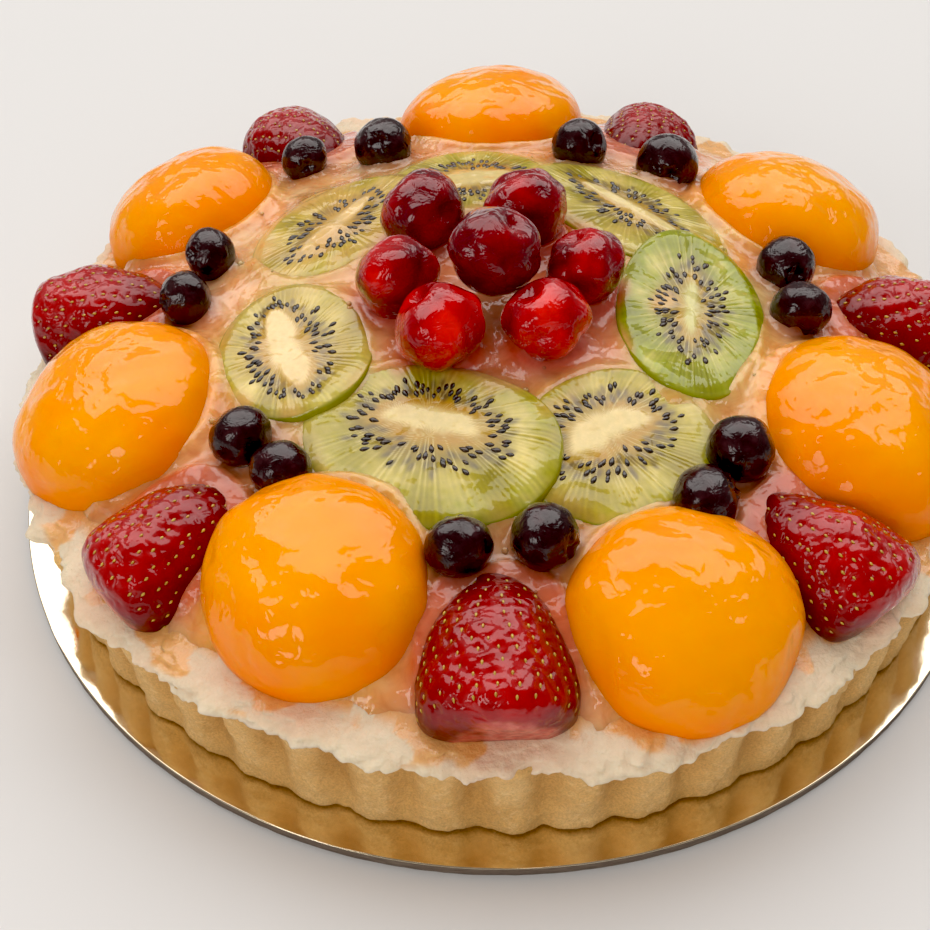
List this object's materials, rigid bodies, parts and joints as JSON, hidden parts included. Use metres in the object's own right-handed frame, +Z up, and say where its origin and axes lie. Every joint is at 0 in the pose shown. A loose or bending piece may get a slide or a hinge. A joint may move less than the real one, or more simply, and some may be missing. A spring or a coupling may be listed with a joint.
{
  "type": "fruit tart",
  "caption": "Round glazed fruit tart on a gold cake board: fluted pastry shell, domed cream, apricot, strawberry, kiwi, blueberry and cherry topping.",
  "frame": {"origin": "centre of the cake board's underside, where it rests", "axes": "+Z up, through the middle of the tart; -Y is the front; +X is to the right seen from the front"},
  "size_m": [0.24, 0.24, 0.0841],
  "materials": {
    "cardboard": "matte",
    "gold_foil": "polished",
    "pastry": "matte, baked shortcrust",
    "cream": "satin, pastry cream",
    "glaze": "glossy, clear jelly",
    "apricot": "glossy, glazed fruit",
    "strawberry": "glossy, glazed fruit",
    "blueberry": "glossy, glazed fruit",
    "kiwi": "glossy, glazed fruit",
    "cherry": "glossy, candied fruit"
  },
  "bodies": {
    "board": {"board_core": "cardboard", "board_foil": "gold_foil"},
    "tart": {"pastry_shell": "pastry", "cream_filling": "cream", "glaze": "glaze", "apricot_half_1": "apricot", "apricot_half_2": "apricot", "apricot_half_3": "apricot", "apricot_half_4": "apricot", "apricot_half_5": "apricot", "apricot_half_6": "apricot", "apricot_half_7": "apricot", "strawberry_half_1": "strawberry", "strawberry_half_2": "strawberry", "strawberry_half_3": "strawberry", "strawberry_half_4": "strawberry", "strawberry_half_5": "strawberry", "strawberry_half_6": "strawberry", "strawberry_half_7": "strawberry", "blueberry_1": "blueberry", "blueberry_2": "blueberry", "blueberry_3": "blueberry", "blueberry_4": "blueberry", "blueberry_5": "blueberry", "blueberry_6": "blueberry", "blueberry_7": "blueberry", "blueberry_8": "blueberry", "blueberry_9": "blueberry", "blueberry_10": "blueberry", "blueberry_11": "blueberry", "blueberry_12": "blueberry", "blueberry_13": "blueberry", "blueberry_14": "blueberry", "kiwi_slice_1": "kiwi", "kiwi_slice_2": "kiwi", "kiwi_slice_3": "kiwi", "kiwi_slice_4": "kiwi", "kiwi_slice_5": "kiwi", "kiwi_slice_6": "kiwi", "kiwi_slice_7": "kiwi", "cherry_1": "cherry", "cherry_2": "cherry", "cherry_3": "cherry", "cherry_4": "cherry", "cherry_5": "cherry", "cherry_6": "cherry", "cherry_7": "cherry"}
  },
  "joints": [
    {"name": "tart_lift", "type": "slide", "parent": "board", "child": "tart", "axis": [0, 0, 1], "range_m": [0, 0.1]}
  ]
}
